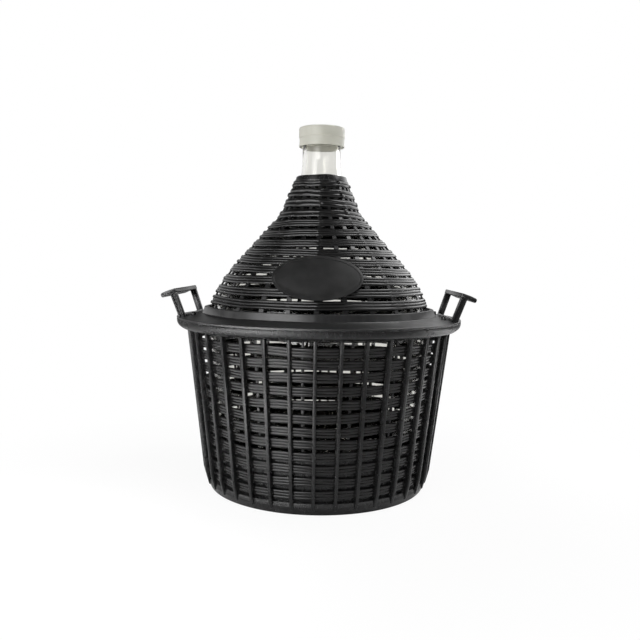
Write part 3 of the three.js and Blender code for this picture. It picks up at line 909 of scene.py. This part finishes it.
class DEMIJOHN_OT_cover_frame(bpy.types.Operator):
    """Mould the bell cover's stakes, flange, plugs and mouth ring"""

    bl_idname = "demijohn.cover_frame"
    bl_label = "Cover frame"

    def execute(self, context):
        sizes = context.scene.demijohn_cover
        finish = frame_plastic(context.scene)
        outline = bell_outline(context.scene)
        self.stakes(sizes, outline, finish)
        self.flange(context.scene, sizes, finish)
        self.mouth(finish)
        return {"FINISHED"}

    def stakes(self, sizes, outline, finish):
        """Stakes among the strands, narrower towards the mouth."""
        low = reach_height(outline, sizes.band_top - 0.002)
        high = run_length(outline) - 0.001
        sunk = 0.3
        inward = Vector((0.0016, 0.0014))
        narrow, full_radius = 0.45, 0.11
        steps = 40
        line = []
        for k in range(steps + 1):
            point, direction = along(outline, low + (high - low) * k / steps)
            side = Vector((direction.y, -direction.x))
            line.append(point - side * sizes.strand_depth * sunk)
        bm = bar_along(line, inward, sizes.stake_width)
        for vert in bm.verts:
            vert.co.y *= narrow + (1.0 - narrow) * min(1.0, vert.co.x / full_radius)
        half_step(bm, sizes.stake_count)
        repeat_round(bm, sizes.stake_count)
        flatten_panels(bm, sizes)
        make_piece("cover_stakes", bm, "cover", finish)

    def flange(self, scene, sizes, finish):
        """The flange with its handle notches, and the rim's raised lands that fill them."""
        half = scene.demijohn_handle.span / 2
        room = 0.0012
        inside = HANDLE_LOW.x - room
        hole = 0.0022
        # Flange and lands take the plastic whose colour is painted paler, as painted light on their tops.
        smooth = flange_plastic_painted_paler(scene)
        flange = make_piece("cover_flange", self.flange_ring(sizes), "cover", smooth)
        cutter = self.notches(inside, half + room)
        for x, y in self.tie_places(inside):
            bmesh.ops.create_cone(
                cutter, cap_ends=True, segments=24, radius1=hole, radius2=hole, depth=0.04,
                matrix=Matrix.Translation((x, y, BASKET_HIGH.z)),
            )
        trim(flange, cutter, "DIFFERENCE")
        lands = make_piece("rim_lands", self.flange_ring(sizes), "basket", smooth)
        trim(lands, self.notches(inside + room / 2, half + room / 2), "INTERSECT")
        self.plugs(inside, finish)

    def flange_ring(self, sizes):
        """Flat flange with the smooth band above it, round outside and in panels inside."""
        edge = COVER_HIGH.y
        low = BASKET_HIGH.z + GAP
        bore = 0.1475
        corner, corner_bore, corner_height = 0.1500, 0.1450, 0.2226
        band, band_bore = 0.1472, 0.1430
        round_from, panels_from = 0.156, 0.151
        outline = rounded([
            (bore, low, 0.0),
            (edge - 0.0006, low, 0.0003),
            (edge, low + 0.0027, 0.0008),
            (corner, corner_height, 0.0016),
            (band, sizes.band_top, 0.0008),
            (band_bore, sizes.band_top, 0.0005),
            (corner_bore, corner_height, 0.0),
        ], steps=4)
        bm = lathe(outline, steps=ROUND_STEPS, closed=True)

        def inner_part(point):
            return clamp((round_from - math.hypot(point.x, point.y)) / (round_from - panels_from))

        flatten_panels(bm, sizes, inner_part)
        return bm

    def notches(self, inside, half):
        """Blocks that take up the places of the two handles."""
        run, height = 0.04, 0.03
        bm = bmesh.new()
        for side in (-1, 1):
            place = Matrix.Translation((side * (inside + run / 2), 0.0, BASKET_HIGH.z))
            bevelled_box(bm, (run, 2 * half, height), bevel=0.0008, matrix=place)
        return bm

    def tie_places(self, inside):
        """Middles of the four plugs."""
        inward, aside = 0.0040, 0.045
        return [(side * (inside - inward), end * aside) for side in (-1, 1) for end in (-1, 1)]

    def plugs(self, inside, finish):
        """Push-in plugs that tie the flange to the rim."""
        top = BASKET_HIGH.z + 0.0092
        low = BASKET_HIGH.z + 0.0005
        head, brim, neck, stem = 0.0029, 0.0032, 0.0019, 0.0017
        outline = rounded([
            (0.0, top, 0.0),
            (head, top, 0.0014),
            (brim, top - 0.0042, 0.0004),
            (neck, top - 0.0048, 0.0002),
            (stem, low, 0.0),
            (0.0, low, 0.0),
        ], steps=3)
        bm = bmesh.new()
        for x, y in self.tie_places(inside):
            plug = lathe(outline, steps=24)
            bmesh.ops.translate(plug, verts=plug.verts, vec=(x, y, 0.0))
            mesh = bpy.data.meshes.new("plug")
            plug.to_mesh(mesh)
            plug.free()
            bm.from_mesh(mesh)
            bpy.data.meshes.remove(mesh)
        make_piece("cover_plugs", bm, "cover", finish)

    def mouth(self, finish):
        """Ring round the mouth, with a slightly wavy edge."""
        top = COVER_HIGH.z - 0.0002
        bend = COVER_HIGH.z - 0.0065
        low = COVER_HIGH.z - 0.0082
        bore, lip, flare, foot, foot_bore = 0.0300, 0.0322, 0.0342, 0.0344, 0.0316
        long_wave, short_wave = 0.0004, 0.0003
        outline = rounded([
            (bore, top, 0.0006),
            (lip, top, 0.0006),
            (flare, bend, 0.0030),
            (foot, low, 0.0006),
            (foot_bore, low, 0.0004),
        ], steps=4)
        bm = lathe(outline, steps=96, closed=True)
        for vert in bm.verts:
            turn = turn_of(vert.co)
            vert.co.z += long_wave * math.sin(2 * turn + 1.0) + short_wave * math.sin(5 * turn)
        make_piece("cover_mouth", bm, "cover", finish)


class DEMIJOHN_OT_plate(bpy.types.Operator):
    """Set the bare oval plate on the front of the cover"""

    bl_idname = "demijohn.plate"
    bl_label = "Oval plate"

    def execute(self, context):
        scene = context.scene
        sizes = scene.demijohn_plate
        middle = (PLATE_LOW.z + PLATE_HIGH.z) / 2
        bm = bmesh.new()
        bmesh.ops.create_circle(bm, cap_ends=True, segments=96, radius=0.5)
        bmesh.ops.scale(bm, verts=bm.verts, vec=(sizes.width, sizes.height, 1.0))
        (face,) = bm.faces
        # Levels are shares of the plate's lift, until the plate is laid on the bell
        raised, shoulder = 1.4, 0.8
        for thickness, level in ((0.0008, raised), (sizes.edge, raised), (0.0007, 1.0), (0.005, 1.0)):
            bmesh.ops.inset_region(
                bm, faces=[face], thickness=thickness, use_boundary=True, use_even_offset=True,
            )
            for vert in face.verts:
                vert.co.z = level
        for share in (0.75, 0.66, 0.5):
            bmesh.ops.inset_region(bm, faces=[face], thickness=0.0, use_boundary=True)
            bmesh.ops.scale(bm, verts=face.verts, vec=(share, share, 1.0))
        bmesh.ops.poke(bm, faces=[face])
        rim = [edge for edge in bm.edges if edge.is_boundary]
        for edge in rim:
            for vert in edge.verts:
                vert.co.z = shoulder
        for vert in new_verts(bmesh.ops.extrude_edge_only(bm, edges=rim)):
            vert.co.z = 0.0
        outline = bell_outline(scene)
        cover = scene.demijohn_cover
        crest_lift, crest_fall = 0.0105, 0.010
        for vert in bm.verts:
            x, height, level = vert.co
            height += middle
            radius = along(outline, reach_height(outline, height))[0].x
            turn = math.asin(x / radius)
            crest = crest_lift - crest_fall * (1.0 - math.cos(cover.panel_count * turn)) / 2
            radius *= 1.0 + (crest if level else panel_shift(turn, cover))
            vert.co = (radius * math.sin(turn), -radius * math.cos(turn) - sizes.lift * level, height)
        make_piece("oval_plate", bm, "cover", plate_plastic(scene), ("name_plate",))
        return {"FINISHED"}


class DEMIJOHN_OT_handles(bpy.types.Operator):
    """Build the two leaning handles"""

    bl_idname = "demijohn.handles"
    bl_label = "Side handles"

    def execute(self, context):
        finish = frame_plastic(context.scene)
        for node, turn in (("handle_right", 0.0), ("handle_left", math.pi)):
            bm = self.build(context.scene.demijohn_handle)
            bmesh.ops.rotate(bm, verts=bm.verts, cent=(0, 0, 0), matrix=Matrix.Rotation(turn, 3, "Z"))
            make_piece(node + "_moulded", bm, "basket", finish, (node,))
        return {"FINISHED"}

    def build(self, sizes):
        """Right handle: posts and sill under a grip with a lip that leans out."""
        bm = bmesh.new()
        for end in (-1, 1):
            self.post(bm, sizes, end)
        lap = 0.002
        bevelled_box(
            bm, (sizes.depth, sizes.span - 2 * sizes.post + lap, sizes.sill - GAP), bevel=0.0008,
            matrix=Matrix.Translation((0.0, 0.0, (sizes.sill + GAP) / 2)),
        )
        self.grip(bm, sizes)
        for vert in bm.verts:
            vert.co.y *= 1.0 + sizes.splay * vert.co.z / sizes.height
        place = (
            Matrix.Translation((sizes.middle, 0.0, BASKET_HIGH.z))
            @ Matrix.Rotation(sizes.lean, 4, "Y")
        )
        bmesh.ops.transform(bm, matrix=place, verts=bm.verts)
        ground = BASKET_HIGH.z + GAP
        for vert in bm.verts:
            vert.co.z = max(vert.co.z, ground)
        return bm

    def post(self, bm, sizes, end):
        """One post, with a channel down its outer side."""
        top = sizes.height - sizes.grip / 2
        middle = (sizes.span - sizes.post) / 2
        verts = bevelled_box(
            bm, (sizes.depth, sizes.post, top - GAP), bevel=0.0009,
            matrix=Matrix.Translation((0.0, end * middle, (top + GAP) / 2)),
        )
        faces = {face for vert in verts for face in vert.link_faces}
        (side,) = [face for face in faces if face.normal.y * end > 0.99]
        bmesh.ops.inset_region(bm, faces=[side], thickness=0.0010, use_even_offset=True)
        bmesh.ops.inset_region(bm, faces=[side], thickness=0.0004, depth=-0.0022, use_even_offset=True)

    def grip(self, bm, sizes):
        """Grip over both posts, with a lip that bends down."""
        overhang = 0.0005
        inner = -sizes.depth / 2 - overhang
        bend = sizes.reach * 0.45
        low = sizes.height - sizes.grip
        tip = low - sizes.drop
        section = rounded([
            (inner, low, 0.0010),
            (bend, low, 0.020),
            (sizes.reach, tip, 0.0022),
            (sizes.reach, tip + sizes.grip, 0.0026),
            (bend, sizes.height, 0.020),
            (inner, sizes.height, 0.0020),
        ], steps=5)
        half = sizes.span / 2 + overhang
        verts = [bm.verts.new((p.x, -half, p.y)) for p in section]
        face = bm.faces.new(verts)
        far = new_verts(bmesh.ops.extrude_face_region(bm, geom=[face]))
        bmesh.ops.translate(bm, verts=far, vec=(0.0, 2 * half, 0.0))
        rims = dict.fromkeys(edge for vert in verts + far for edge in vert.link_edges)
        rims = [edge for edge in rims if abs(edge.verts[0].co.y - edge.verts[1].co.y) < 1e-6]
        bmesh.ops.bevel(
            bm, geom=rims, offset=0.0009, segments=2, profile=0.5, affect="EDGES", material=-1,
        )


class DEMIJOHN_OT_stage(bpy.types.Operator):
    """Set the floor, the light and the camera"""

    bl_idname = "demijohn.stage"
    bl_label = "Stage"

    def execute(self, context):
        scene = context.scene
        scene.view_settings.view_transform = "Standard"
        self.floor(scene)
        self.world(scene)
        sizes = scene.demijohn_stage
        # Name, place, aim, width and height, power and beam
        lamps = (
            ("key", (-0.682, -0.758, 0.682), (0.0, 0.0, 0.27), (0.6, 0.7), sizes.key_power, 1.0),
            ("front", (-0.375, -1.030, 0.396), (0.0, 0.0, 0.30), (0.5, 0.5), sizes.front_power, 0.9),
            ("side", (0.728, 0.128, 1.246), (0.0, 0.0, 0.30), (0.7, 0.7), sizes.side_power, 1.0),
            ("back", (0.738, 0.879, 0.830), (0.0, 0.0, 0.22), (0.9, 0.8), sizes.back_power, math.pi),
            ("left_pool", (-0.50, -0.50, 1.30), (-0.50, -0.50, 0.0), (0.3, 0.3), sizes.left_pool, 0.75),
            ("right_pool", (0.75, 0.15, 1.30), (0.75, 0.15, 0.0), (0.3, 0.3), sizes.right_pool, 0.75),
        )
        for lamp in lamps:
            self.softbox(scene, *lamp)
        self.camera(scene, sizes)
        return {"FINISHED"}

    def floor(self, scene):
        """Pale floor that keeps the object's shadow and fades to white."""
        bm = bmesh.new()
        bmesh.ops.create_grid(bm, x_segments=8, y_segments=8, size=6.0)
        mesh = bpy.data.meshes.new("floor")
        bm.to_mesh(mesh)
        bm.free()
        floor = bpy.data.objects.new("floor", mesh)
        scene.collection.objects.link(floor)
        material, tree, shader = new_finish("pale_floor")
        shader.inputs["Base Color"].default_value = (*scene.demijohn_finishes.floor, 1.0)
        shader.inputs["Roughness"].default_value = 0.9
        glow = tree.nodes.new("ShaderNodeEmission")
        place = tree.nodes.new("ShaderNodeTexCoord")
        reach = tree.nodes.new("ShaderNodeVectorMath")
        reach.operation = "LENGTH"
        tree.links.new(place.outputs["Object"], reach.inputs[0])
        fade = self.ramp(tree, reach.outputs["Value"], low=0.15, high=0.55, at_low=0.93, at_high=1.0)
        share = self.combine(tree, "MULTIPLY", self.seen(tree), fade)
        self.overlay(tree, share, shader.outputs["BSDF"], glow.outputs["Emission"], "Material Output")
        mesh.materials.append(material)

    def world(self, scene):
        """White for what the camera and the glass see, and for other rays a room with a dark ceiling."""
        world = bpy.data.worlds.new("studio")
        scene.world = world
        world.use_nodes = True
        tree = world.node_tree
        room = tree.nodes["Background"]
        white = tree.nodes.new("ShaderNodeBackground")
        for background in (room, white):
            background.inputs["Color"].default_value = (1.0, 1.0, 1.0, 1.0)
        place = tree.nodes.new("ShaderNodeTexCoord")
        split = tree.nodes.new("ShaderNodeSeparateXYZ")
        tree.links.new(place.outputs["Generated"], split.inputs["Vector"])
        aside = self.combine(tree, "ABSOLUTE", split.outputs["X"])
        sides = self.ramp(tree, aside, low=0.3, high=0.9, at_low=1.1, at_high=2.1)
        back = self.ramp(tree, split.outputs["Y"], low=0.2, high=0.9, at_low=1.0, at_high=0.55)
        height = self.ramp(tree, split.outputs["Z"], low=0.05, high=0.5, at_low=1.0, at_high=0.0)
        around = self.combine(tree, "MULTIPLY", sides, back)
        tree.links.new(self.combine(tree, "MULTIPLY", around, height), room.inputs["Strength"])
        self.overlay(
            tree, self.seen(tree), room.outputs["Background"], white.outputs["Background"], "World Output",
        )

    def seen(self, tree):
        """1 for what the camera and the glass see, and 0 for other rays."""
        path = tree.nodes.new("ShaderNodeLightPath")
        rays = [path.outputs["Is Camera Ray"], path.outputs["Is Transmission Ray"]]
        return self.combine(tree, "MAXIMUM", *rays)

    def combine(self, tree, operation, *values):
        node = tree.nodes.new("ShaderNodeMath")
        node.operation = operation
        for value, socket in zip(values, node.inputs):
            tree.links.new(value, socket)
        return node.outputs["Value"]

    def overlay(self, tree, share, first, second, output):
        """Shows a share of the second shader over the first."""
        mix = tree.nodes.new("ShaderNodeMixShader")
        tree.links.new(share, mix.inputs["Fac"])
        tree.links.new(first, mix.inputs[1])
        tree.links.new(second, mix.inputs[2])
        tree.links.new(mix.outputs["Shader"], tree.nodes[output].inputs["Surface"])

    def ramp(self, tree, value, low, high, at_low, at_high):
        """Smooth step from one level to another."""
        node = tree.nodes.new("ShaderNodeMapRange")
        node.interpolation_type = "SMOOTHSTEP"
        node.inputs["From Min"].default_value = low
        node.inputs["From Max"].default_value = high
        node.inputs["To Min"].default_value = at_low
        node.inputs["To Max"].default_value = at_high
        tree.links.new(value, node.inputs["Value"])
        return node.outputs["Result"]

    def softbox(self, scene, name, place, aim, size, power, beam):
        light = bpy.data.lights.new(name, "AREA")
        light.shape = "RECTANGLE"
        light.size, light.size_y = size
        light.energy = power
        light.spread = beam
        lamp = bpy.data.objects.new(name, light)
        lamp.location = place
        lamp.rotation_euler = (Vector(aim) - Vector(place)).to_track_quat("-Z", "Y").to_euler()
        scene.collection.objects.link(lamp)

    def camera(self, scene, sizes):
        data = bpy.data.cameras.new("camera")
        data.lens = sizes.focal
        data.sensor_width = 36.0
        camera = bpy.data.objects.new("camera", data)
        place = Vector((
            sizes.distance * math.sin(sizes.azimuth),
            -sizes.distance * math.cos(sizes.azimuth),
            sizes.camera_height,
        ))
        camera.matrix_world = (
            Matrix.Translation(place)
            @ Matrix.Rotation(sizes.azimuth - sizes.aside, 4, "Z")
            @ Matrix.Rotation(math.pi / 2 - sizes.pitch, 4, "X")
            @ Matrix.Rotation(sizes.roll, 4, "Z")
        )
        scene.collection.objects.link(camera)
        scene.camera = camera


class VIEW3D_PT_demijohn(bpy.types.Panel):
    """Buttons and sizes for the demijohn"""

    bl_label = "Demijohn"
    bl_space_type = "VIEW_3D"
    bl_region_type = "UI"
    bl_category = "Demijohn"

    def draw(self, context):
        layout = self.layout
        for operator in OPERATORS:
            layout.operator(operator.bl_idname)
        for name, group in GROUPS.items():
            box = layout.box()
            box.label(text=group.__doc__)
            for key in group.__annotations__:
                box.prop(getattr(context.scene, name), key)


GROUPS = {
    "demijohn_bottle": BottleSizes,
    "demijohn_cap": CapSizes,
    "demijohn_basket": BasketSizes,
    "demijohn_cover": CoverSizes,
    "demijohn_plate": PlateSizes,
    "demijohn_handle": HandleSizes,
    "demijohn_finishes": Finishes,
    "demijohn_stage": StageSettings,
}
OPERATORS = (
    DEMIJOHN_OT_bottle,
    DEMIJOHN_OT_cap,
    DEMIJOHN_OT_basket_bands,
    DEMIJOHN_OT_basket_frame,
    DEMIJOHN_OT_cover_bands,
    DEMIJOHN_OT_cover_frame,
    DEMIJOHN_OT_plate,
    DEMIJOHN_OT_handles,
    DEMIJOHN_OT_stage,
)


def register():
    for cls in (*GROUPS.values(), *OPERATORS, VIEW3D_PT_demijohn):
        bpy.utils.register_class(cls)
    for name, group in GROUPS.items():
        setattr(bpy.types.Scene, name, bpy.props.PointerProperty(type=group))


def unregister():
    for name in GROUPS:
        delattr(bpy.types.Scene, name)
    for cls in (VIEW3D_PT_demijohn, *reversed(OPERATORS), *reversed(GROUPS.values())):
        bpy.utils.unregister_class(cls)


def main():
    register()
    bpy.ops.demijohn.bottle()
    bpy.ops.demijohn.cap()
    bpy.ops.demijohn.basket_bands()
    bpy.ops.demijohn.basket_frame()
    bpy.ops.demijohn.cover_bands()
    bpy.ops.demijohn.cover_frame()
    bpy.ops.demijohn.plate()
    bpy.ops.demijohn.handles()
    bpy.ops.demijohn.stage()


if __name__ == "__main__":
    main()
